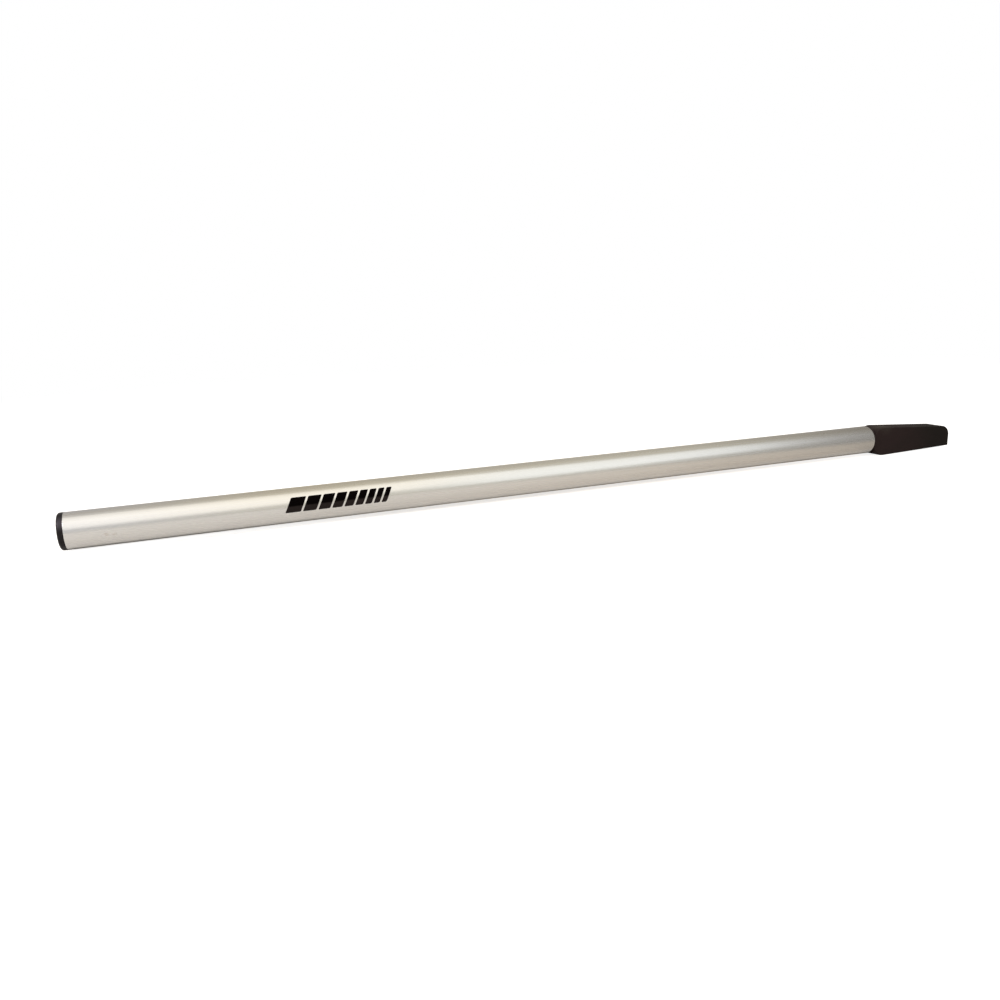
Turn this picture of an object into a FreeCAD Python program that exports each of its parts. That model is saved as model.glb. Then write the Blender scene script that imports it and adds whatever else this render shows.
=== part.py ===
import FreeCAD, Part
import math
import os
import Sketcher
from FreeCAD import Vector

# Boat tiller: a round aluminium tube with a push-in cap at the hand end and, at the other end, a moulded
# plug whose tapered block slides into the rudder head.
#
# The frame has X along the tube, from the cap to the block, and Z up. The tiller lies as it rests, on the
# heel of its block. The origin is on the ground, midway along the whole length.
# Each piece is drawn with the tube's axis as its own X axis and is then put in its place.

doc = FreeCAD.newDocument("boat_tiller")

# Driving dimensions, in millimetres, with degrees for angles

SIZES = [
    ("tube_length", 848, "tube, end to end"),
    ("tube_diameter", 32, "tube, outside"),
    ("tube_wall", 2, "tube, wall thickness"),
    ("tube_deburr", 0.4, "tube, chamfer broken on the outer rim at both ends"),
    ("fit_gap", 0.05, "radial clearance of the cap's fins and the plug's ribs in the bore"),
    ("cap_flange", 4.9, "cap, thickness of the flange outside the tube"),
    ("cap_edge_round", 2.4, "cap, rounding of the flange's outer edge"),
    ("cap_floor", 2.5, "cap, thickness of the closed end in front of the hollow"),
    ("insert_length", 28, "cap, length of the insert inside the tube"),
    ("insert_wall", 2, "cap, wall of the insert's sleeve"),
    ("fin_number", 3, "cap, number of fins round the sleeve"),
    ("fin_height", 1.95, "cap, height of a fin above the sleeve"),
    ("fin_margin", 2.5, "cap, from either end of the insert to the nearest fin"),
    ("fin_root", 1.8, "cap, width of a fin where it leaves the sleeve"),
    ("fin_tip", 0.8, "cap, width of a fin at its edge"),
    ("block_length", 119, "block, from the tube's end to the nose"),
    ("block_width", 26, "block, across its flat sides"),
    ("heel_drop", 2.5, "block, lowest point of the underside, below the tube's underside"),
    ("keel_rise", 2.8, "block, rise of the underside from the heel to the nose"),
    ("crown_inset", 0.1, "block, top line at the tube's end, below the tube's top"),
    ("crown_fall", 7.9, "block, fall of the top line from the tube's end to the nose"),
    ("shoulder_round", 15.5, "block, rounding of both front corners in side view"),
    ("nose_round", 11.5, "block, rounding of the nose's top corner in side view"),
    ("block_edge_round", 1.2, "block, rounding along the edges of the flat sides"),
    ("collar_thickness", 1.2, "plug, collar that seats on the tube's end"),
    ("spigot_length", 70, "plug, length of the spigot inside the tube"),
    ("spigot_wall", 4.3, "plug, wall of the spigot at its open end"),
    ("spigot_lead", 2, "plug, chamfer on the spigot's end"),
    ("rib_number", 8, "plug, number of ribs round the spigot"),
    ("rib_height", 0.65, "plug, height of a rib above the spigot"),
    ("rib_width", 2.4, "plug, width of a rib where it leaves the spigot"),
    ("rib_setback", 5, "plug, from the spigot's end to the start of the ribs"),
    ("core_reach", 42, "plug, how far the spigot's hollow reaches into the block"),
    ("core_draft", 1, "plug, draft of the hollow on each side, in degrees"),
]

# Sizes that follow from the driving ones

TUBE_RADIUS = "(Sizes.tube_diameter / 2)"
BORE_RADIUS = "(Sizes.tube_diameter / 2 - Sizes.tube_wall)"
FITTED_RADIUS = "(" + BORE_RADIUS + " - Sizes.fit_gap)"
SLEEVE_RADIUS = "(" + FITTED_RADIUS + " - Sizes.fin_height)"
SPIGOT_RADIUS = "(" + FITTED_RADIUS + " - Sizes.rib_height)"
HEEL_DEPTH = "(" + TUBE_RADIUS + " + Sizes.heel_drop)"
KEEL_DEPTH = "(" + HEEL_DEPTH + " - Sizes.keel_rise)"
CROWN_HEIGHT = "(" + TUBE_RADIUS + " - Sizes.crown_inset)"
BROW_HEIGHT = "(" + CROWN_HEIGHT + " - Sizes.crown_fall)"
SHOULDER_ROUND = "min(Sizes.shoulder_round; 0.48 * (" + HEEL_DEPTH + " + " + CROWN_HEIGHT + "))"
NOSE_ROUND = "min(Sizes.nose_round; 0.8 * (" + BROW_HEIGHT + " + " + KEEL_DEPTH + "))"
EDGE_ROUND = "min(Sizes.block_edge_round; 0.4 * Sizes.block_width)"
FLANGE_ROUND = "min(Sizes.cap_edge_round; 0.9 * Sizes.cap_flange)"
SHOULDER_X = "(Sizes.cap_flange + Sizes.tube_length - Sizes.block_length) / 2"
CAP_SEAT_X = "(Sizes.cap_flange - Sizes.tube_length - Sizes.block_length) / 2"


def make_sheet():
    sheet = doc.addObject("Spreadsheet::Sheet", "Sizes")
    for row, (alias, value, note) in enumerate(SIZES, start=1):
        sheet.set("A%d" % row, note)
        sheet.set("B%d" % row, str(value))
        sheet.setAlias("B%d" % row, alias)
    doc.recompute()
    return sheet


sizes = make_sheet()


def size(expression):
    """The value of a formula of the sheet's sizes, in millimetres."""
    value = sizes.evalExpression(expression)
    return float(getattr(value, "Value", value))


# Steps that the pieces share

def new_body(label):
    body = doc.addObject("PartDesign::Body", label)
    body.Label = label
    return body


def datum(body, role):
    for feature in body.Origin.OriginFeatures:
        if feature.Role == role:
            return feature
    raise ValueError("no origin feature " + role)


def new_sketch(body, name, plane_role):
    sketch = body.newObject("Sketcher::SketchObject", name)
    sketch.AttachmentSupport = (datum(body, plane_role), [""])
    sketch.MapMode = "FlatFace"
    return sketch


def bind(sketch, name, kind, where, expression):
    """Adds a dimension with a name to the sketch and ties it to the sheet."""
    number = sketch.addConstraint(Sketcher.Constraint(kind, *where, size(expression)))
    sketch.renameConstraint(number, name)
    sketch.setExpression("Constraints." + name, expression)


def draw_outline(sketch, corners):
    """Draws a closed outline of straight lines through corners that are each given by two formulas, its
    distances along and away from the sketch's horizontal axis, and holds every corner there."""
    points = [Vector(size(along), size(out), 0) for along, out in corners]
    count = len(points)
    for i in range(count):
        sketch.addGeometry(Part.LineSegment(points[i], points[(i + 1) % count]), False)
    for i in range(count):
        sketch.addConstraint(Sketcher.Constraint("Coincident", i, 2, (i + 1) % count, 1))
    for i, (along, out) in enumerate(corners):
        if along == "0":
            sketch.addConstraint(Sketcher.Constraint("PointOnObject", i, 1, -2))
        else:
            bind(sketch, "along_%d" % i, "DistanceX", (-1, 1, i, 1), along)
        if out == "0":
            sketch.addConstraint(Sketcher.Constraint("PointOnObject", i, 1, -1))
        else:
            bind(sketch, "out_%d" % i, "DistanceY", (-1, 1, i, 1), out)


def turn(body, kind, name, sketch):
    """Turns a sketch about the tube's axis, as a PartDesign Revolution or Groove."""
    turned = body.newObject("PartDesign::" + kind, name)
    turned.Profile = sketch
    turned.ReferenceAxis = (sketch, ["H_Axis"])
    turned.Angle = 360
    body.Tip = turned
    doc.recompute()
    return turned


def edge_names(shape, wanted):
    return ["Edge%d" % (i + 1) for i, edge in enumerate(shape.Edges) if wanted(edge)]


def has_radius(edge, radius):
    return hasattr(edge.Curve, "Radius") and abs(edge.Curve.Radius - radius) < 1e-6


def put_in_place(body, x_expression):
    body.setExpression("Placement.Base.x", x_expression)
    body.setExpression("Placement.Base.z", HEEL_DEPTH)
    doc.recompute()


# The tube, drawn from its plug end towards negative x

def make_tube():
    body = new_body("tiller_tube")
    section = new_sketch(body, "tube_section", "YZ_Plane")
    for i, (name, radius) in enumerate((("outside", TUBE_RADIUS), ("bore", BORE_RADIUS))):
        section.addGeometry(Part.Circle(Vector(0, 0, 0), Vector(0, 0, 1), size(radius)), False)
        section.addConstraint(Sketcher.Constraint("Coincident", i, 3, -1, 1))
        bind(section, name, "Radius", (i,), radius)

    wall = body.newObject("PartDesign::Pad", "extruded_wall")
    wall.Profile = section
    wall.Reversed = True
    wall.setExpression("Length", "Sizes.tube_length")
    doc.recompute()

    outer_rims = edge_names(wall.Shape, lambda edge: has_radius(edge, size(TUBE_RADIUS)))
    deburr = body.newObject("PartDesign::Chamfer", "rim_deburr")
    deburr.Base = (wall, outer_rims)
    deburr.setExpression("Size", "Sizes.tube_deburr")
    put_in_place(body, SHOULDER_X)
    return body


# The cap: a turned form with its flange outside the tube, at negative x, and its insert inside

def make_cap():
    body = new_body("end_cap")
    profile = new_sketch(body, "cap_profile", "XZ_Plane")
    hollow_radius = "(" + SLEEVE_RADIUS + " - Sizes.insert_wall)"
    floor = "(Sizes.cap_floor - Sizes.cap_flange)"
    draw_outline(profile, [
        ("-Sizes.cap_flange", "0"),
        ("-Sizes.cap_flange", TUBE_RADIUS),
        ("0", TUBE_RADIUS),
        ("0", SLEEVE_RADIUS),
        ("Sizes.insert_length", SLEEVE_RADIUS),
        ("Sizes.insert_length", hollow_radius),
        (floor, hollow_radius),
        (floor, "0"),
    ])
    turned = turn(body, "Revolution", "flange_and_sleeve", profile)

    def front_rim(edge):
        return has_radius(edge, size(TUBE_RADIUS)) and edge.Curve.Center.x < size("-Sizes.cap_flange / 2")

    rounded = body.newObject("PartDesign::Fillet", "flange_edge")
    rounded.Base = (turned, edge_names(turned.Shape, front_rim))
    rounded.setExpression("Radius", FLANGE_ROUND)
    doc.recompute()

    # One fin stands on the sleeve next to the flange and is repeated towards the insert's end
    fin_profile = new_sketch(body, "fin_profile", "XZ_Plane")
    in_sleeve = "(" + SLEEVE_RADIUS + " - Sizes.insert_wall / 2)"
    draw_outline(fin_profile, [
        ("Sizes.fin_margin", in_sleeve),
        ("Sizes.fin_margin", FITTED_RADIUS),
        ("Sizes.fin_margin + Sizes.fin_tip", FITTED_RADIUS),
        ("Sizes.fin_margin + Sizes.fin_root", in_sleeve),
    ])
    fin = turn(body, "Revolution", "fin", fin_profile)
    fins = body.newObject("PartDesign::LinearPattern", "fins")
    fins.Originals = [fin]
    fins.Direction = (datum(body, "X_Axis"), [""])
    fins.setExpression("Length", "Sizes.insert_length - 2 * Sizes.fin_margin - Sizes.fin_root")
    fins.setExpression("Occurrences", "Sizes.fin_number")
    body.Tip = fins
    put_in_place(body, CAP_SEAT_X)
    return body


# The plug: the block first, then collar, neck and spigot, then the ribs and the hollow

def draw_block_side(sketch):
    """Side view of the block: two rounded front corners, a top line that falls to a rounded nose, and an
    underside that rises from the heel to the nose's sharp lower corner."""
    front = size("Sizes.collar_thickness")
    end = size("Sizes.block_length")
    heel = -size(HEEL_DEPTH)
    keel = -size(KEEL_DEPTH)
    crown = size(CROWN_HEIGHT)
    brow = size(BROW_HEIGHT)
    shoulder = size(SHOULDER_ROUND)
    nose = size(NOSE_ROUND)

    def line(x_from, z_from, x_to, z_to, guide=False):
        return sketch.addGeometry(Part.LineSegment(Vector(x_from, z_from, 0), Vector(x_to, z_to, 0)), guide)

    def quarter(x, z, radius, start):
        circle = Part.Circle(Vector(x, z, 0), Vector(0, 0, 1), radius)
        return sketch.addGeometry(Part.ArcOfCircle(circle, start, start + math.pi / 2), False)

    underside = line(front + shoulder, heel, end, keel)
    tail = line(end, keel, end, brow - nose)
    nose_arc = quarter(end - nose, brow - nose, nose, 0)
    top = line(end - nose, brow, front + shoulder, crown)
    upper_arc = quarter(front + shoulder, crown - shoulder, shoulder, math.pi / 2)
    face = line(front, crown - shoulder, front, heel + shoulder)
    lower_arc = quarter(front + shoulder, heel + shoulder, shoulder, math.pi)
    top_guide = line(0, crown, end, brow, guide=True)

    sketch.addConstraint([
        Sketcher.Constraint("Coincident", underside, 2, tail, 1),
        Sketcher.Constraint("Vertical", tail),
        Sketcher.Constraint("Tangent", tail, 2, nose_arc, 1),
        Sketcher.Constraint("Tangent", nose_arc, 2, top, 1),
        Sketcher.Constraint("Tangent", top, 2, upper_arc, 1),
        Sketcher.Constraint("Tangent", upper_arc, 2, face, 1),
        Sketcher.Constraint("Vertical", face),
        Sketcher.Constraint("Tangent", face, 2, lower_arc, 1),
        Sketcher.Constraint("Tangent", lower_arc, 2, underside, 1),
        Sketcher.Constraint("Tangent", top, top_guide),
        Sketcher.Constraint("PointOnObject", top_guide, 1, -2),
        Sketcher.Constraint("PointOnObject", top_guide, 2, tail),
    ])
    bind(sketch, "end_face", "DistanceX", (-1, 1, tail, 1), "Sizes.block_length")
    bind(sketch, "front_face", "DistanceX", (-1, 1, face, 1), "Sizes.collar_thickness")
    bind(sketch, "keel", "DistanceY", (-1, 1, tail, 1), "-" + KEEL_DEPTH)
    bind(sketch, "crown", "DistanceY", (-1, 1, top_guide, 1), CROWN_HEIGHT)
    bind(sketch, "brow", "DistanceY", (-1, 1, top_guide, 2), BROW_HEIGHT)
    bind(sketch, "nose", "Radius", (nose_arc,), NOSE_ROUND)
    bind(sketch, "upper_shoulder", "Radius", (upper_arc,), SHOULDER_ROUND)
    bind(sketch, "lower_shoulder", "Radius", (lower_arc,), SHOULDER_ROUND)
    # The lowest point of the lower arc is the heel
    bind(sketch, "heel", "DistanceY", (-1, 1, lower_arc, 3), SHOULDER_ROUND + " - " + HEEL_DEPTH)


def make_plug():
    body = new_body("rudder_head_plug")
    side = new_sketch(body, "block_side", "XZ_Plane")
    draw_block_side(side)
    block = body.newObject("PartDesign::Pad", "block")
    block.Profile = side
    block.Midplane = True
    block.setExpression("Length", "Sizes.block_width")
    doc.recompute()

    def on_flat_side(edge):
        box = edge.BoundBox
        return box.YLength < 1e-6 and abs(abs(box.YMin) - size("Sizes.block_width / 2")) < 1e-6

    softened = body.newObject("PartDesign::Fillet", "block_edges")
    softened.Base = (block, edge_names(block.Shape, on_flat_side))
    softened.setExpression("Radius", EDGE_ROUND)
    doc.recompute()

    neck_end = "(Sizes.collar_thickness + " + SHOULDER_ROUND + ")"
    spigot_profile = new_sketch(body, "spigot_profile", "XZ_Plane")
    draw_outline(spigot_profile, [
        ("-Sizes.spigot_length", "0"),
        ("-Sizes.spigot_length", SPIGOT_RADIUS + " - Sizes.spigot_lead"),
        ("Sizes.spigot_lead - Sizes.spigot_length", SPIGOT_RADIUS),
        ("0", SPIGOT_RADIUS),
        ("0", TUBE_RADIUS),
        ("Sizes.collar_thickness", TUBE_RADIUS),
        ("Sizes.collar_thickness", "Sizes.block_width / 2"),
        (neck_end, "Sizes.block_width / 2"),
        (neck_end, "0"),
    ])
    turn(body, "Revolution", "collar_neck_and_spigot", spigot_profile)

    # One rib lies along the top of the spigot and is repeated round it
    rib_section = new_sketch(body, "rib_section", "YZ_Plane")
    in_spigot = "(" + SPIGOT_RADIUS + " - Sizes.spigot_wall / 4)"
    rib_top = "sqrt(" + FITTED_RADIUS + "^2 - (Sizes.rib_width / 4)^2)"
    draw_outline(rib_section, [
        ("-Sizes.rib_width / 2", in_spigot),
        ("Sizes.rib_width / 2", in_spigot),
        ("Sizes.rib_width / 4", rib_top),
        ("-Sizes.rib_width / 4", rib_top),
    ])
    rib = body.newObject("PartDesign::Pad", "rib")
    rib.Profile = rib_section
    rib.Reversed = True
    rib.setExpression("Length", "Sizes.spigot_length - Sizes.rib_setback")
    doc.recompute()
    ribs = body.newObject("PartDesign::PolarPattern", "ribs")
    ribs.Originals = [rib]
    ribs.Axis = (datum(body, "X_Axis"), [""])
    ribs.Angle = 360
    ribs.setExpression("Occurrences", "Sizes.rib_number")
    body.Tip = ribs
    doc.recompute()

    # The hollow runs from the spigot's end into the block and narrows with its draft
    solid_volume = body.Shape.Volume
    mouth = "(" + SPIGOT_RADIUS + " - Sizes.spigot_wall)"
    tip = mouth + " - tan(Sizes.core_draft) * (Sizes.spigot_length + Sizes.core_reach)"
    hollow_profile = new_sketch(body, "hollow_profile", "XZ_Plane")
    draw_outline(hollow_profile, [
        ("-Sizes.spigot_length", "0"),
        ("-Sizes.spigot_length", mouth),
        ("Sizes.core_reach", tip),
        ("Sizes.core_reach", "0"),
    ])
    turn(body, "Groove", "hollow", hollow_profile)
    if body.Shape.Volume >= solid_volume:
        raise ValueError("the hollow cuts nothing")
    put_in_place(body, SHOULDER_X)
    return body


pieces = [make_tube(), make_cap(), make_plug()]

# Every object and every piece is sound before anything is written

for item in doc.Objects:
    if "Invalid" in item.State or "Error" in item.State:
        raise ValueError(item.Name + " failed: " + ", ".join(item.State))
for piece in pieces:
    shape = piece.Shape
    if shape.isNull() or not shape.isValid() or len(shape.Solids) != 1:
        raise ValueError(piece.Label + " is not one valid solid")

os.makedirs("parts", exist_ok=True)
for piece in pieces:
    piece.Shape.exportStep("parts/" + piece.Label + ".step")
    box = piece.Shape.optimalBoundingBox(True, False)
    print("%-17s volume %9.1f  x %8.2f %8.2f  y %7.2f %7.2f  z %7.2f %7.2f" % (
        piece.Label, piece.Shape.Volume, box.XMin, box.XMax, box.YMin, box.YMax, box.ZMin, box.ZMax))
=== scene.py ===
import math

import bpy
from mathutils import Matrix, Vector


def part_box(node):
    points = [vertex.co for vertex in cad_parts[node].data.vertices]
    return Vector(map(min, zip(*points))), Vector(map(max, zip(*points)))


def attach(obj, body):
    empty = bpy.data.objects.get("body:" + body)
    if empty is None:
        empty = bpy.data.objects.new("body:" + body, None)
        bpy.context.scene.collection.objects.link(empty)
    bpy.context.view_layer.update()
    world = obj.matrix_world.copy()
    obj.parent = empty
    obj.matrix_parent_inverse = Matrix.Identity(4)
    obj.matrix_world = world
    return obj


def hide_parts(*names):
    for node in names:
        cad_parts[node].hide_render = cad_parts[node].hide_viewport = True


# Boat tiller in a plain studio: a satin anodised tube with a generic bar print, a black push-in cap at the
# hand end and a black moulded plug at the rudder end. X runs along the tube towards the plug and Z is up.
#
# Lengths are in metres and angles in degrees. A turn is an angle round the tube's axis, from the horizontal
# on the viewer's side upwards. A noise is given by its grains in a metre along x, y and z, and a relief by
# the strength and the height of its bumps. A span or a pair of levels is where a change starts and ends.

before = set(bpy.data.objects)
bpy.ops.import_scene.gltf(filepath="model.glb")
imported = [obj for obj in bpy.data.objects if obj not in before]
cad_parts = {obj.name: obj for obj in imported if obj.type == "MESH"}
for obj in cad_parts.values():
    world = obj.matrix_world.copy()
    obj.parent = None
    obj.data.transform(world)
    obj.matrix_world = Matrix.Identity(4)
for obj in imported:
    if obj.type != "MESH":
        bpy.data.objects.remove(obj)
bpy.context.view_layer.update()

# Sizes that the frame gives

tube_low, tube_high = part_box("tiller_tube")
HAND_END = tube_low.x
PLUG_END = tube_high.x
TUBE_RADIUS = (tube_high.y - tube_low.y) / 2
AXIS_HEIGHT = (tube_high.z + tube_low.z) / 2
tube_points = [vertex.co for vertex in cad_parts["tiller_tube"].data.vertices]
BORE_RADIUS = min(math.hypot(point.y, point.z - AXIS_HEIGHT) for point in tube_points)

# Camera, as the photograph was taken

CAMERA_PLACE = (-0.3551, -0.7197, 0.1823)
CAMERA_HEADING = 19.80      # from +Y towards +X
CAMERA_PITCH = -13.444
CAMERA_ROLL = -2.218
CAMERA_LENS = 28.31         # millimetres
CAMERA_SENSOR = 36          # width in millimetres
CAMERA_NEAREST = 0.01
CAMERA_FURTHEST = 100

# Tube

TUBE_SEGMENTS = 192
TUBE_RINGS = 48             # lengths into which the outside is divided
TUBE_SHARP_ABOVE = 40       # edges that turn by more are shaded as sharp
RIM_ROUND = 0.0004          # radius of the outer rims' rounding
RIM_STEPS = 4
RIM_MARGIN = 0.0002         # from a rim's rounding to the ring that keeps the tube's shading straight

# Bar print, whose middle faces the viewer's side a little above the horizontal

PRINT_START = 0.176         # from the tube's hand end
PRINT_LENGTH = 0.098
PRINT_TURN = 12.8           # of the bars' middle
PRINT_HALF_ARC = 24.5
PRINT_BARS = 9
PRINT_TAPER = 0.88          # each bar's width over the last one's
PRINT_GAP = 0.0018
PRINT_SLANT = 0.0065        # how far a bar's top leans along the tube
PRINT_CORNER = 0.0007
PRINT_PROUD = 0.00004
PRINT_SUNK = 0.0002
PRINT_STEPS = 24
PRINT_ACROSS = 4            # points on each line across a bar
PRINT_SHARP_ABOVE = 30

# Levels between which most of a noise lies

NOISE_LEVELS = (0.3, 0.7)

# Anodised aluminium

FINE_LINES = {"per_metre": (4, 2600, 2600), "detail": 2.0}
BROAD_LINES = {"per_metre": (1.5, 420, 420)}
ANODISING_CLOUDS = {"per_metre": (9, 40, 40), "detail": 4.0}
ALUMINIUM_DARK = (0.612, 0.598, 0.578)
ALUMINIUM_LIGHT = (0.630, 0.616, 0.596)
BROAD_LINES_IN_TONE = 0.6   # share of the tone. The clouds give the rest
TONE_LEVELS = (0.35, 0.65)
ALUMINIUM_ROUGHNESS = (0.25, 0.285)
ALUMINIUM_ANISOTROPY = 0.3
FINE_LINES_IN_RELIEF = 0.85     # share of the relief. The broad lines give the rest
LINE_RELIEF = (0.02, 0.00003)

# Scuffs where the tube is handled

SCUFF_PLACES = [(0.03155, -12, 0.0028), (0.03755, -12.5, 0.0026)]   # from the hand end, turn, radius
SCRATCHES = {"per_metre": (500, 900, 900), "detail": 5.0, "rough": 0.7}
SCRATCH_LEVELS = (0.42, 0.56)
SCUFF_COLOUR = (0.45, 0.395, 0.345)
SCUFF_COVER = 0.8           # share of the scuff's colour where it is deepest
SCUFF_ROUGHENING = 0.2

# Print ink

INK_FULL = (0.0007, 0.0002, 0.0002)
# colour of the pinholes and of the painted sheen
INK_SHEEN_AND_PINHOLES = (0.0178, 0.0138, 0.0124)
INK_SHEEN_BELOW = 5          # turn below which the ink has its painted sheen
INK_NO_SHEEN_ABOVE = 11         # turn above which it has no painted sheen
INK_SHEEN_COVER = 0.9        # share of the painted sheen's colour there
INK_GRAIN = {"per_metre": (1500, 1500, 1500)}
PINHOLE_LEVELS = (0.4, 0.7)
PINHOLE_COVER = 0.12
INK_ROUGHNESS = (0.45, 0.55)
INK_SPECULAR = 0.012
INK_RELIEF = (0.1, 0.00002)

# Moulded plastic of the cap and the plug

CAP_PLASTIC = {
    "dark": (0.0085, 0.0072, 0.0078),
    "light": (0.0110, 0.0094, 0.0100),
    # painted highlight on the upper side of the rim
    "painted_highlight": (0.047, 0.040, 0.047),
    "roughness": (0.30, 0.36),
    "grain": {"per_metre": (2500, 2500, 2500), "rough": 0.6},
    "specular": 0.12,
}
PLUG_PLASTIC = {
    "dark": (0.0118, 0.0088, 0.0072),
    # lighter end of the random tone, and of the painted light towards the shoulder
    "light": (0.0215, 0.0130, 0.0122),
    # painted highlight on the shoulder
    "painted_highlight": (0.046, 0.038, 0.030),
    "roughness": (0.58, 0.68),
    "grain": {"per_metre": (2000, 2000, 2000), "rough": 0.6},
    "specular": 0.09,
}
FLOW_CLOUDS = {"per_metre": (25, 60, 60), "detail": 4.0}
FLOW_IN_TONE = 0.3          # how far the flow moves the tone, up or down
GRAIN_RELIEF = (0.35, 0.00008)
GRAIN_ROUGHENING = 0.04     # up or down
MARK_RELIEF = (1.0, 0.00015)

# Rubbed edges of the plastic, by the part of the surface's normal along the axis that the edge turns to

EDGE_STARTS = (0.15, 0.40)
EDGE_ENDS = (0.86, 0.98)
RUBBED_PATCHES = {"per_metre": (160, 160, 160), "detail": 4.0}
PATCH_LEVELS = (0.42, 0.62)
RUBBED_COLOUR = (0.030, 0.027, 0.025)
RUBBED_COVER = 0.5          # share of the rubbed colour where it is strongest
RUBBED_SMOOTHING = 0.12

# Marks and rubbing of the plug, its painted light and its painted highlight

COLLAR_THICKNESS = 0.0012
SHOULDER_ROUND = 0.0155     # of the block's front corners, which is also the neck's length
NECK_END = PLUG_END + COLLAR_THICKNESS + SHOULDER_ROUND
RUBBING_LEAD = 0.002        # from the neck's end to where the block's edges are fully rubbed
PARTING_LINE_SIDE = (0.00008, 0.00030)      # from the middle plane
PAINTED_LIGHT_SPAN = (PLUG_END + 0.02805, PLUG_END + 0.10805)   # x over which the painted light fades, darker towards the rudder end
# Painted highlight on the top of the shoulder
SHOULDER_HIGHLIGHT_PLACE = (PLUG_END + 0.01905, -0.004, AXIS_HEIGHT + 0.0155)
SHOULDER_HIGHLIGHT_RADIUS = 0.016

# Marks and rubbing of the cap, and its painted highlight

CAP_TONE = 0.5              # share of the lighter colour
GATE_MARK_SIDE = (0.0013, 0.0019)           # from the middle of the face
CAP_HIGHLIGHT_TURNS = (8, 38, 70)                # where the painted highlight starts, is strongest and ends
CAP_HIGHLIGHT_INSET = (0.003, 0.0005)            # in from the tube's outside, where the painted highlight starts and is full

# Floor, which lifts to white where the camera sees it and gives way to a white backdrop further off

FLOOR_REACH = 30.0          # from its middle to each side
FLOOR_TONE_SPAN = (-1.0, 1.0)   # x that the tone's ramp covers
# Painted shade: the floor's tone falls towards the rudder end, as the light does
FLOOR_TONE_ALONG = [        # by x
    (-0.05, 0.80), (0.05, 0.78), (0.10, 0.76), (0.175, 0.71), (0.25, 0.67), (0.32, 0.622), (0.355, 0.58),
    (0.42, 0.475), (0.50, 0.36), (0.60, 0.32),
]
FLOOR_HAND_TINT = (1.0, 0.965, 0.90)
FLOOR_RUDDER_TINT = (1.0, 0.905, 0.785)
FLOOR_TINT_SPAN = (-0.45, 0.35)     # x over which the hand end's tint gives way to the rudder end's
FLOOR_LIFT = 1.37           # what the floor's tone and its lift for the camera add up to
BACKDROP_SPAN = (0.8, 2.0)  # distance over which the floor gives way

# Painted shade: share of the floor's tone by the distance from the tiller's middle plane, a little darker
# right under the tiller and further off to the sides, and the shade at the hand end

FLOOR_TONE_ASIDE = [(0.0, 0.98), (0.02, 0.98), (0.05, 1.0), (0.1, 1.0), (0.5, 0.84), (1.0, 0.84)]
FLOOR_SHADE = 0.5           # share of the tone that the shade takes away
FLOOR_SHADE_SPAN = (-0.42, -0.2)    # x over which the shade lifts
FLOOR_SHADE_SIDE = (0.003, 0.007)   # from the middle plane

# Painted light: what the floor gives off for the metal that mirrors it, by the distance from the middle
# plane, a bright strip beside the tiller that lightens its shadow and none right under it

FLOOR_IN_METAL = [(0.0, 0.0), (0.0045, 0.0), (0.0085, 0.24), (0.0125, 0.09), (0.02, 0.03), (1.0, 0.02)]
FLOOR_GROWTH_SPAN = (-0.35, 0.1)    # x over which it grows
FLOOR_GROWTH = 1.4          # how many times as much it adds at the end of that span as at its start

# Room that the metal mirrors: its colour by the turn, times its colour by the direction's part along +X

ROOM_ROUND = [
    (-180, (0.78, 0.74, 0.65)),
    (-8, (0.82, 0.79, 0.72)),
    (3, (0.80, 0.785, 0.725)),
    (14, (0.84, 0.825, 0.77)),
    (28, (0.87, 0.85, 0.795)),
    (42, (0.86, 0.835, 0.78)),
    (60, (0.85, 0.82, 0.75)),
    (95, (0.80, 0.755, 0.645)),
    (108, (0.78, 0.735, 0.63)),
    (125, (0.69, 0.64, 0.535)),
    (155, (0.61, 0.577, 0.51)),
    (172, (0.68, 0.643, 0.57)),
    (180, (0.78, 0.74, 0.65)),
]
ROOM_ALONG = [
    (-1.0, (0.78, 0.78, 0.80)),
    (-0.9, (0.72, 0.72, 0.74)),
    (-0.78, (0.30, 0.30, 0.32)),
    (-0.64, (0.30, 0.30, 0.32)),
    (-0.45, (0.90, 0.92, 1.02)),
    (-0.12, (0.93, 0.955, 1.06)),
    (0.0, (0.99, 0.978, 0.945)),
    (0.08, (1.01, 0.972, 0.85)),
    (0.18, (1.0, 0.98, 0.92)),
    (0.30, (0.98, 0.98, 0.96)),
    (0.5, (1.0, 1.005, 0.985)),
    (0.58, (0.93, 0.94, 0.94)),
    (0.66, (0.60, 0.60, 0.62)),
    (0.70, (0.37, 0.36, 0.375)),
    (0.75, (0.18, 0.175, 0.18)),
    (0.82, (0.24, 0.24, 0.24)),
    (0.92, (0.70, 0.70, 0.69)),
    (1.0, (0.78, 0.78, 0.77)),
]
AMBIENT = 0.75              # level of the room as light, where nothing mirrors it
WHITE = (1, 1, 1)

# Lamps

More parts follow.
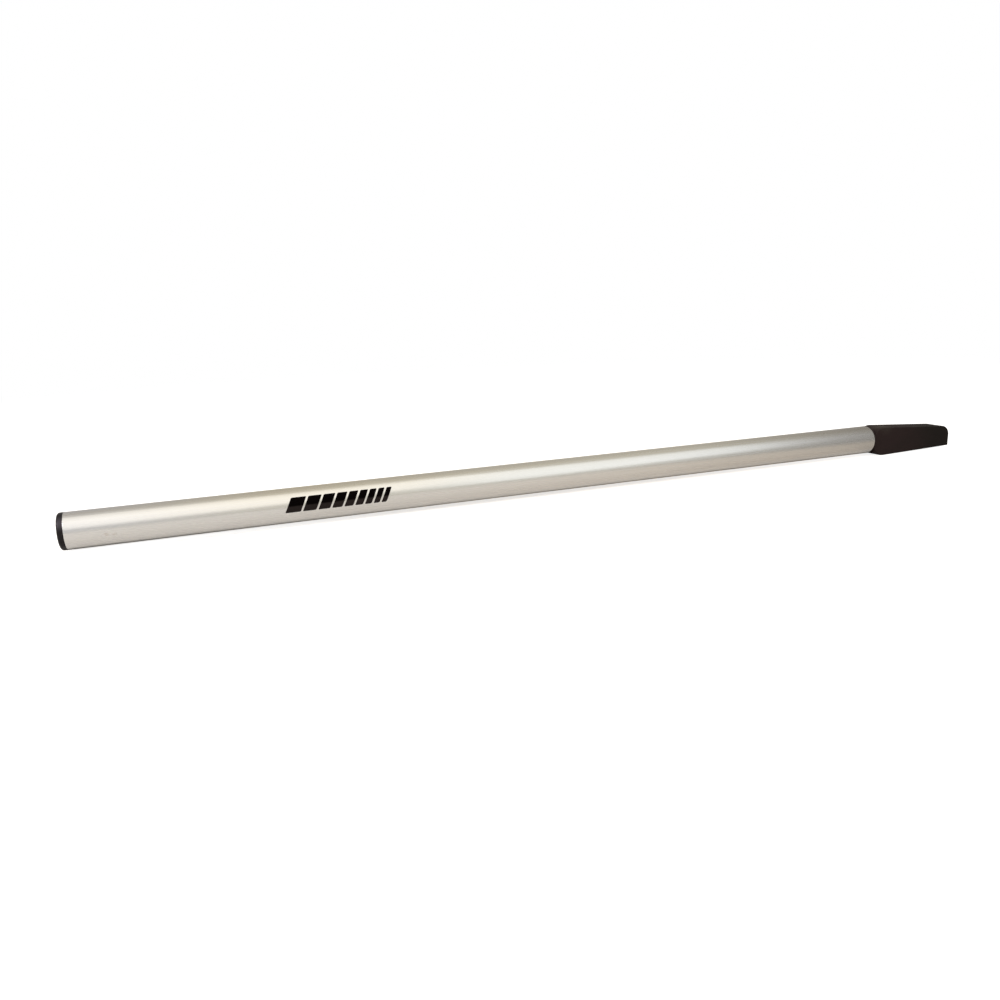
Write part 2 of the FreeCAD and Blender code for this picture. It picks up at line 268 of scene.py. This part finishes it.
LAMPS = [
    {"name": "softbox", "x": -0.545, "turn": 59.5, "distance": 1.7, "aside": -20, "roll": -2,
     "width": 2.12, "height": 2.5, "watts": 11.5, "colour": (1.0, 0.975, 0.92)},
    {"name": "inner_diffuser", "x": -0.9, "turn": 62, "distance": 1.6, "aside": -20,
     "width": 1.3, "height": 0.9, "watts": 0.4, "colour": (1.0, 0.98, 0.94)},
    {"name": "window_near", "x": 0.725, "turn": 49, "distance": 1.7,
     "width": 0.75, "height": 2.40, "watts": 3.70, "colour": (0.93, 1.0, 1.06)},
    {"name": "window_far", "x": 1.37, "turn": 52.5, "distance": 1.7,
     "width": 0.54, "height": 1.95, "watts": 2.19, "colour": (0.92, 1.0, 1.08)},
    {"name": "back_card", "x": 2.2, "turn": 147, "distance": 1.7,
     "width": 0.8, "height": 1.0, "watts": 0.2, "colour": (1.0, 0.99, 0.96)},
    {"name": "side_light", "x": -1.7, "turn": 60, "distance": 1.2, "aside": -45,
     "width": 0.8, "height": 0.8, "watts": 12.0, "colour": (1.0, 0.96, 1.04)},
]


def on_tube(x, turn, radius):
    """A point at a turn about the tube's axis."""
    angle = math.radians(turn)
    return Vector((x, -radius * math.cos(angle), AXIS_HEIGHT + radius * math.sin(angle)))


# Colours and their stops in a ramp

def opaque(colour):
    return (*colour, 1.0)


def grey(level):
    return (level, level, level)


def grey_stops(stops):
    return [(at, grey(level)) for at, level in stops]


# Nodes

class Nodes:
    """Adds nodes to a tree and links them. An input that is given a socket is linked to it, and any other
    value is set."""

    def __init__(self, tree):
        self.tree = tree

    def add(self, kind, inputs=None, **settings):
        node = self.tree.nodes.new(kind)
        for name, value in settings.items():
            setattr(node, name, value)
        for key, value in (inputs or {}).items():
            if isinstance(value, bpy.types.NodeSocket):
                self.tree.links.new(value, node.inputs[key])
            else:
                node.inputs[key].default_value = value
        return node

    def math(self, operation, first, second=0.0, clamp=False):
        node = self.add("ShaderNodeMath", {0: first, 1: second}, operation=operation, use_clamp=clamp)
        return node.outputs[0]

    def plus(self, first, second, clamp=False):
        return self.math("ADD", first, second, clamp)

    def minus(self, first, second):
        return self.math("SUBTRACT", first, second)

    def times(self, first, second):
        return self.math("MULTIPLY", first, second)

    def blended(self, share, first, second):
        """A share of the first value and the rest of the second."""
        return self.plus(self.times(first, share), self.times(second, 1 - share))

    def split(self, vector):
        """The vector's parts, by the names X, Y and Z."""
        return self.add("ShaderNodeSeparateXYZ", {0: vector}).outputs

    def vector_math(self, operation, inputs, output="Vector"):
        return self.add("ShaderNodeVectorMath", inputs, operation=operation).outputs[output]

    def ranged(self, value, from_low, from_high, to_low=0.0, to_high=1.0, smooth=False):
        """The value moved from one range to another, and held at its ends."""
        kind = "SMOOTHSTEP" if smooth else "LINEAR"
        inputs = {
            "Value": value, "From Min": from_low, "From Max": from_high,
            "To Min": to_low, "To Max": to_high,
        }
        return self.add("ShaderNodeMapRange", inputs, interpolation_type=kind).outputs["Result"]

    def rising(self, value, start, end):
        """0 below the start and 1 above the end, with a smooth step between."""
        return self.ranged(value, start, end, smooth=True)

    def falling(self, value, start, end):
        """1 below the start and 0 above the end, with a smooth step between."""
        return self.ranged(value, start, end, 1.0, 0.0, smooth=True)

    def noise(self, place, per_metre, detail=3.0, rough=0.55):
        scaled = self.vector_math("MULTIPLY", {0: place, 1: per_metre})
        node = self.add("ShaderNodeTexNoise", {
            "Vector": scaled, "Scale": 1.0, "Detail": detail, "Roughness": rough,
        })
        return node.outputs["Fac"]

    def near(self, place, point, radius):
        """1 at a point, falling to 0 at a radius from it."""
        return self.falling(self.vector_math("DISTANCE", {0: place, 1: point}, "Value"), 0.0, radius)

    def mixed(self, share, first, second):
        """The first colour with a share of the second over it."""
        inputs = {"Factor": share, "A": first, "B": second}
        return self.add("ShaderNodeMix", inputs, data_type="RGBA").outputs["Result"]

    def ramp(self, share, stops):
        """A colour ramp with its stops as (share, colour)."""
        node = self.add("ShaderNodeValToRGB", {"Fac": share})
        elements = node.color_ramp.elements
        for number, (at, colour) in enumerate(stops):
            element = elements[number] if number < 2 else elements.new(at)
            element.position = at
            element.color = opaque(colour)
        return node.outputs["Color"]

    def ramp_over(self, value, low, high, stops):
        """A colour ramp over a value from low to high, with its stops as (value, colour)."""
        return self.ramp(self.ranged(value, low, high), [
            ((at - low) / (high - low), colour) for at, colour in stops
        ])

    def bump(self, height, relief, over=None):
        """Bumps of a relief, which lie over other bumps where those are given."""
        strength, distance = relief
        inputs = {"Height": height, "Strength": strength, "Distance": distance}
        if over is not None:
            inputs["Normal"] = over
        return self.add("ShaderNodeBump", inputs).outputs["Normal"]

    def camera_rays(self):
        """1 for the rays by which the camera sees a surface."""
        return self.add("ShaderNodeLightPath").outputs["Is Camera Ray"]

    def mirror_rays(self):
        """1 for the rays by which metal and glass see their surroundings."""
        rays = self.add("ShaderNodeLightPath").outputs
        return self.plus(rays["Is Glossy Ray"], rays["Is Transmission Ray"], clamp=True)

    def turn_about_axis(self, parts, axis_height):
        """The turn about an axis along X, in radians above the horizontal on the viewer's side."""
        up = self.minus(parts["Z"], axis_height)
        toward_viewer = self.times(parts["Y"], -1.0)
        return self.math("ARCTAN2", up, toward_viewer)

    def surface(self, shader):
        """Gives the material its shader."""
        self.add("ShaderNodeOutputMaterial", {"Surface": shader})

    def principled(self, inputs):
        """Gives the material one shader with these inputs."""
        self.surface(self.add("ShaderNodeBsdfPrincipled", inputs).outputs["BSDF"])


def new_material(name):
    """A material without nodes, the helper that adds them, and the place on the object's surface."""
    material = bpy.data.materials.new(name)
    material.use_nodes = True
    material.node_tree.nodes.clear()
    nodes = Nodes(material.node_tree)
    return material, nodes, nodes.add("ShaderNodeTexCoord").outputs["Object"]


# Materials of the tube and its print

def scuffs(nodes, place):
    """1 in the scratches of a scuff, and 0 away from the scuffs."""
    scuffed = None
    for from_end, turn, radius in SCUFF_PLACES:
        here = nodes.near(place, on_tube(HAND_END + from_end, turn, TUBE_RADIUS), radius)
        scuffed = here if scuffed is None else nodes.math("MAXIMUM", scuffed, here)
    scratches = nodes.noise(place, **SCRATCHES)
    return nodes.times(scuffed, nodes.ranged(scratches, *SCRATCH_LEVELS))


def anodised_aluminium():
    """Satin anodised aluminium, drawn lengthwise: die lines along the tube, cloudy anodising and scuffs."""
    material, nodes, place = new_material("anodised_aluminium")
    fine_lines = nodes.noise(place, **FINE_LINES)
    broad_lines = nodes.noise(place, **BROAD_LINES)
    clouds = nodes.noise(place, **ANODISING_CLOUDS)
    scuffed = scuffs(nodes, place)

    tone = nodes.ranged(nodes.blended(BROAD_LINES_IN_TONE, broad_lines, clouds), *TONE_LEVELS)
    colour = nodes.mixed(tone, opaque(ALUMINIUM_DARK), opaque(ALUMINIUM_LIGHT))
    colour = nodes.mixed(nodes.times(scuffed, SCUFF_COVER), colour, opaque(SCUFF_COLOUR))
    rough = nodes.ranged(fine_lines, *NOISE_LEVELS, *ALUMINIUM_ROUGHNESS)
    rough = nodes.plus(rough, nodes.times(scuffed, SCUFF_ROUGHENING))
    height = nodes.blended(FINE_LINES_IN_RELIEF, fine_lines, broad_lines)
    round_tube = nodes.add("ShaderNodeTangent", direction_type="RADIAL", axis="X").outputs["Tangent"]
    nodes.principled({
        "Base Color": colour, "Metallic": 1.0, "Roughness": rough, "Anisotropic": ALUMINIUM_ANISOTROPY,
        "Tangent": round_tube, "Normal": nodes.bump(height, LINE_RELIEF),
    })
    return material


def print_ink():
    """Matt screen-printed ink, near black, with a painted sheen that lightens its lower half, and pinholes.
    """
    material, nodes, place = new_material("print_ink")
    grain = nodes.noise(place, **INK_GRAIN)
    turn = nodes.turn_about_axis(nodes.split(place), AXIS_HEIGHT)
    # Painted sheen: lighter where the ink faces down, below a turn
    painted_sheen = nodes.falling(turn, math.radians(INK_SHEEN_BELOW), math.radians(INK_NO_SHEEN_ABOVE))
    pinholes = nodes.ranged(grain, *PINHOLE_LEVELS, 0.0, PINHOLE_COVER)
    share = nodes.plus(nodes.times(painted_sheen, INK_SHEEN_COVER), pinholes, clamp=True)
    nodes.principled({
        "Base Color": nodes.mixed(share, opaque(INK_FULL), opaque(INK_SHEEN_AND_PINHOLES)),
        "Roughness": nodes.ranged(grain, *NOISE_LEVELS, *INK_ROUGHNESS),
        "Specular IOR Level": INK_SPECULAR, "Normal": nodes.bump(grain, INK_RELIEF),
    })
    return material


# Materials of the cap and the plug

def moulded_plastic(name, details, dark, light, painted_highlight, roughness, grain, specular):
    """Moulded black plastic: a spark-eroded grain, a cloudy tone from its flow, the marks of its mould,
    rubbed edges and painted light.
    details gives the height of the marks, the share of rubbing, the share of the lighter colour, which on
    the plug is painted light, and the share of the painted highlight."""
    material, nodes, place = new_material(name)
    grained = nodes.noise(place, **grain)
    flow = nodes.noise(place, **FLOW_CLOUDS)
    marks, rubbed, lighter_tone_and_painted_light, painted_highlight_share = details(nodes, place)
    cloudy = nodes.ranged(flow, *NOISE_LEVELS, -FLOW_IN_TONE, FLOW_IN_TONE)
    # The lighter colour is an even tone on the cap, and painted light towards the shoulder on the plug
    colour = nodes.mixed(nodes.plus(lighter_tone_and_painted_light, cloudy, clamp=True), opaque(dark), opaque(light))
    # Painted highlight, mixed over the colour where details puts it
    colour = nodes.mixed(painted_highlight_share, colour, opaque(painted_highlight))
    colour = nodes.mixed(nodes.times(rubbed, RUBBED_COVER), colour, opaque(RUBBED_COLOUR))
    rough = nodes.plus(nodes.ranged(flow, *NOISE_LEVELS, *roughness),
                       nodes.ranged(grained, *NOISE_LEVELS, -GRAIN_ROUGHENING, GRAIN_ROUGHENING))
    rough = nodes.minus(rough, nodes.times(rubbed, RUBBED_SMOOTHING))
    nodes.principled({
        "Base Color": colour, "Roughness": rough, "Specular IOR Level": specular,
        "Normal": nodes.bump(grained, GRAIN_RELIEF, over=nodes.bump(marks, MARK_RELIEF)),
    })
    return material


def edge_rubbing(nodes, place, axis):
    """Patchy rubbing on the edges where the surface turns towards an axis."""
    normal = nodes.add("ShaderNodeNewGeometry").outputs["True Normal"]
    turning = nodes.math("ABSOLUTE", nodes.split(normal)[axis])
    on_edge = nodes.times(nodes.rising(turning, *EDGE_STARTS), nodes.falling(turning, *EDGE_ENDS))
    patches = nodes.noise(place, **RUBBED_PATCHES)
    return nodes.times(on_edge, nodes.ranged(patches, *PATCH_LEVELS))


def plug_details(nodes, place):
    """The parting line along the plug's upright middle plane, the block's rubbed long edges, painted light
    that makes the colour lighter towards the shoulder, and a painted highlight on the shoulder."""
    parts = nodes.split(place)
    parting_line = nodes.falling(nodes.math("ABSOLUTE", parts["Y"]), *PARTING_LINE_SIDE)
    on_block = nodes.ranged(parts["X"], NECK_END, NECK_END + RUBBING_LEAD)
    rubbed = nodes.times(edge_rubbing(nodes, place, "Y"), on_block)
    # Painted light: lighter towards the shoulder, darker towards the rudder end
    painted_shoulder_light = nodes.falling(parts["X"], *PAINTED_LIGHT_SPAN)
    # Painted highlight on the shoulder
    painted_highlight_share = nodes.near(place, SHOULDER_HIGHLIGHT_PLACE, SHOULDER_HIGHLIGHT_RADIUS)
    return parting_line, rubbed, painted_shoulder_light, painted_highlight_share


def cap_details(nodes, place):
    """The gate mark in the middle of the cap's face, its rubbed outer edge, an even tone, and a painted
    highlight on the upper side of the edge that faces the viewer."""
    parts = nodes.split(place)
    up = nodes.minus(parts["Z"], AXIS_HEIGHT)
    squares = nodes.plus(nodes.math("POWER", parts["Y"], 2.0), nodes.math("POWER", up, 2.0))
    out = nodes.math("SQRT", squares)
    gate_mark = nodes.rising(out, *GATE_MARK_SIDE)
    turn = nodes.turn_about_axis(parts, AXIS_HEIGHT)
    # Painted highlight: a band on the upper side of the rim, facing the viewer
    low, middle, high = (math.radians(angle) for angle in CAP_HIGHLIGHT_TURNS)
    on_side = nodes.times(nodes.rising(turn, low, middle), nodes.falling(turn, middle, high))
    at_rim = nodes.rising(out, *(TUBE_RADIUS - inset for inset in CAP_HIGHLIGHT_INSET))
    return gate_mark, edge_rubbing(nodes, place, "X"), CAP_TONE, nodes.times(on_side, at_rim)


# Tube and print

def new_piece(name, points, faces, material, sharp_above):
    mesh = bpy.data.meshes.new(name)
    mesh.from_pydata(points, [], faces)
    mesh.validate()
    mesh.materials.append(material)
    mesh.polygons.foreach_set("use_smooth", [True] * len(mesh.polygons))
    mesh.set_sharp_from_angle(angle=math.radians(sharp_above))
    piece = bpy.data.objects.new(name, mesh)
    bpy.context.scene.collection.objects.link(piece)
    return piece


def rim_rounding(x, first, last):
    """Points of a rim's rounding in the tube's profile, between two angles about its centre at x."""
    points = []
    for step in range(RIM_STEPS + 1):
        angle = math.radians(first + (last - first) * step / RIM_STEPS)
        out = TUBE_RADIUS - RIM_ROUND + RIM_ROUND * math.sin(angle)
        points.append((x + RIM_ROUND * math.cos(angle), out))
    return points


def turned(profile):
    """Points and faces of a closed profile of (x, radius) pairs, turned about the tube's axis."""
    points = []
    for x, radius in profile:
        for i in range(TUBE_SEGMENTS):
            points.append(on_tube(x, 360 * i / TUBE_SEGMENTS, radius))
    faces = []
    for ring in range(len(profile)):
        here = ring * TUBE_SEGMENTS
        following = (ring + 1) % len(profile) * TUBE_SEGMENTS
        for i in range(TUBE_SEGMENTS):
            j = (i + 1) % TUBE_SEGMENTS
            faces.append((here + i, here + j, following + j, following + i))
    return points, faces


def make_tube(material):
    first = HAND_END + RIM_ROUND + RIM_MARGIN
    last = PLUG_END - RIM_ROUND - RIM_MARGIN
    profile = rim_rounding(HAND_END + RIM_ROUND, 180, 90)
    for ring in range(TUBE_RINGS + 1):
        profile.append((first + (last - first) * ring / TUBE_RINGS, TUBE_RADIUS))
    profile += rim_rounding(PLUG_END - RIM_ROUND, 90, 0)
    profile += [(PLUG_END, BORE_RADIUS), (HAND_END, BORE_RADIUS)]
    tube = new_piece("anodised_tube", *turned(profile), material, TUBE_SHARP_ABOVE)
    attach(tube, "root")
    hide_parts("tiller_tube")


def bar_points(start, width):
    """Points of one bar from its foot to its top. Each line across it has two points inside the tube's
    surface and two outside."""
    arc = math.radians(2 * PRINT_HALF_ARC) * TUBE_RADIUS
    points = []
    for step in range(PRINT_STEPS + 1):
        share = step / PRINT_STEPS
        to_end = min(share, 1 - share) * arc
        corner = max(PRINT_CORNER - to_end, 0.0)
        inset = PRINT_CORNER - math.sqrt(PRINT_CORNER ** 2 - corner ** 2)
        turn = PRINT_TURN + PRINT_HALF_ARC * (2 * share - 1)
        left = start + PRINT_SLANT * share
        for radius in (TUBE_RADIUS - PRINT_SUNK, TUBE_RADIUS + PRINT_PROUD):
            points.append(on_tube(left + inset, turn, radius))
            points.append(on_tube(left + width - inset, turn, radius))
    return points


def bar_faces(base):
    """Faces of the bar whose points start at base: its outside, inside and two sides, then its foot and
    top."""
    top = base + PRINT_ACROSS * PRINT_STEPS
    faces = []
    for low in range(base, top, PRINT_ACROSS):
        high = low + PRINT_ACROSS
        faces += [
            (low + 2, low + 3, high + 3, high + 2),
            (low + 1, low, high, high + 1),
            (low, low + 2, high + 2, high),
            (low + 3, low + 1, high + 1, high + 3),
        ]
    return faces + [(base, base + 1, base + 3, base + 2), (top + 1, top, top + 2, top + 3)]


def make_print(material):
    """Slanted bars that grow narrower along the tube, each a thin curved plate on its surface."""
    gaps = PRINT_GAP * (PRINT_BARS - 1)
    first = (PRINT_LENGTH - gaps - PRINT_SLANT) / sum(PRINT_TAPER ** i for i in range(PRINT_BARS))
    points = []
    faces = []
    start = HAND_END + PRINT_START
    for bar in range(PRINT_BARS):
        width = first * PRINT_TAPER ** bar
        faces += bar_faces(len(points))
        points += bar_points(start, width)
        start += width + PRINT_GAP
    bars = new_piece("bar_print", points, faces, material, PRINT_SHARP_ABOVE)
    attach(bars, "root")


# Studio

def floor_tone(nodes, along, aside):
    """The floor's tone with painted shade: it falls towards the rudder end, and there is a shade under the
    hand end.
    """
    tone = nodes.ramp_over(along, *FLOOR_TONE_SPAN, grey_stops(FLOOR_TONE_ALONG))
    tone = nodes.times(tone, nodes.ramp(aside, grey_stops(FLOOR_TONE_ASIDE)))
    shade = nodes.ranged(along, *FLOOR_SHADE_SPAN, FLOOR_SHADE, 0.0)
    shade = nodes.times(shade, nodes.falling(aside, *FLOOR_SHADE_SIDE))
    return nodes.times(tone, nodes.minus(1.0, shade))


def floor_lift(nodes, tone, along, aside):
    """The light that the floor adds: up to white for the camera, and a little for the metal."""
    for_camera = nodes.times(nodes.camera_rays(), nodes.minus(FLOOR_LIFT, tone))
    in_metal = nodes.ramp(aside, grey_stops(FLOOR_IN_METAL))
    growth = nodes.ranged(along, *FLOOR_GROWTH_SPAN, 1.0, FLOOR_GROWTH)
    for_metal = nodes.times(nodes.mirror_rays(), nodes.times(in_metal, growth))
    strength = nodes.plus(for_camera, for_metal)
    return nodes.add("ShaderNodeEmission", {"Strength": strength}).outputs["Emission"]


def studio_floor():
    """A pale floor that reads as white and keeps the tiller's shadow. The metal mirrors its own colour, and
    far from the tiller it gives way to the white of the backdrop."""
    material, nodes, place = new_material("studio_floor")
    parts = nodes.split(place)
    along = parts["X"]
    aside = nodes.math("ABSOLUTE", parts["Y"])
    tone = floor_tone(nodes, along, aside)
    warming = nodes.rising(along, *FLOOR_TINT_SPAN)
    tint = nodes.mixed(warming, opaque(FLOOR_HAND_TINT), opaque(FLOOR_RUDDER_TINT))
    colour = nodes.vector_math("SCALE", {0: tint, "Scale": tone})
    matt = nodes.add("ShaderNodeBsdfDiffuse", {"Color": colour}).outputs["BSDF"]
    lift = floor_lift(nodes, tone, along, aside)
    near_floor = nodes.add("ShaderNodeAddShader", {0: matt, 1: lift}).outputs[0]

    backdrop = nodes.add("ShaderNodeEmission", {"Strength": 1.0}).outputs["Emission"]
    far = nodes.rising(nodes.vector_math("LENGTH", {0: place}, "Value"), *BACKDROP_SPAN)
    nodes.surface(nodes.add("ShaderNodeMixShader", {0: far, 1: near_floor, 2: backdrop}).outputs[0])
    return material


def make_floor(material):
    corners = [(FLOOR_REACH * x, FLOOR_REACH * y, 0) for x, y in ((-1, -1), (1, -1), (1, 1), (-1, 1))]
    mesh = bpy.data.meshes.new("floor")
    mesh.from_pydata(corners, [], [(0, 1, 2, 3)])
    mesh.materials.append(material)
    floor = bpy.data.objects.new("floor", mesh)
    bpy.context.scene.collection.objects.link(floor)


def make_world():
    """White for the camera, the room for the rays that mirror it and an even light for the rest."""
    world = bpy.data.worlds.new("studio")
    world.use_nodes = True
    world.node_tree.nodes.clear()
    bpy.context.scene.world = world
    nodes = Nodes(world.node_tree)
    parts = nodes.split(nodes.add("ShaderNodeTexCoord").outputs["Generated"])
    turn_stops = [(math.radians(turn), colour) for turn, colour in ROOM_ROUND]
    by_turn = nodes.ramp_over(nodes.turn_about_axis(parts, 0.0), -math.pi, math.pi, turn_stops)
    by_part = nodes.ramp_over(parts["X"], -1.0, 1.0, ROOM_ALONG)
    room = nodes.vector_math("MULTIPLY", {0: by_turn, 1: by_part})
    colour = nodes.mixed(nodes.mirror_rays(), opaque(grey(AMBIENT)), room)
    colour = nodes.mixed(nodes.camera_rays(), colour, opaque(WHITE))
    background = nodes.add("ShaderNodeBackground", {"Color": colour, "Strength": 1.0})
    nodes.add("ShaderNodeOutputWorld", {"Surface": background.outputs[0]})


def rotation(angle, axis):
    return Matrix.Rotation(math.radians(angle), 4, axis)


def make_lamp(name, x, turn, distance, width, height, watts, colour, aside=0, roll=0):
    """A soft rectangular lamp at a turn and a distance from the tube's axis. It faces the axis, and is then
    turned aside, towards the hand end or towards the rudder end where aside is negative, and rolled."""
    light = bpy.data.lights.new(name, "AREA")
    light.shape = "RECTANGLE"
    light.size = width
    light.size_y = height
    light.energy = watts
    light.color = colour
    lamp = bpy.data.objects.new(name, light)
    bpy.context.scene.collection.objects.link(lamp)
    facing = rotation(90 - turn, "X") @ rotation(aside, "Y") @ rotation(roll, "Z")
    lamp.matrix_world = Matrix.Translation(on_tube(x, turn, distance)) @ facing


def make_camera():
    optics = bpy.data.cameras.new("camera")
    optics.lens = CAMERA_LENS
    optics.sensor_width = CAMERA_SENSOR
    optics.clip_start = CAMERA_NEAREST
    optics.clip_end = CAMERA_FURTHEST
    camera = bpy.data.objects.new("camera", optics)
    bpy.context.scene.collection.objects.link(camera)
    facing = rotation(-CAMERA_HEADING, "Z") @ rotation(90 + CAMERA_PITCH, "X") @ rotation(CAMERA_ROLL, "Z")
    camera.matrix_world = Matrix.Translation(CAMERA_PLACE) @ facing
    bpy.context.scene.camera = camera


make_camera()
make_world()
make_floor(studio_floor())
for lamp in LAMPS:
    make_lamp(**lamp)
bpy.context.scene.view_settings.view_transform = "Standard"

make_tube(anodised_aluminium())
make_print(print_ink())
cap_plastic = moulded_plastic("cap_plastic", cap_details, **CAP_PLASTIC)
plug_plastic = moulded_plastic("plug_plastic", plug_details, **PLUG_PLASTIC)
for node, material in (("end_cap", cap_plastic), ("rudder_head_plug", plug_plastic)):
    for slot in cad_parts[node].material_slots:
        slot.material = material
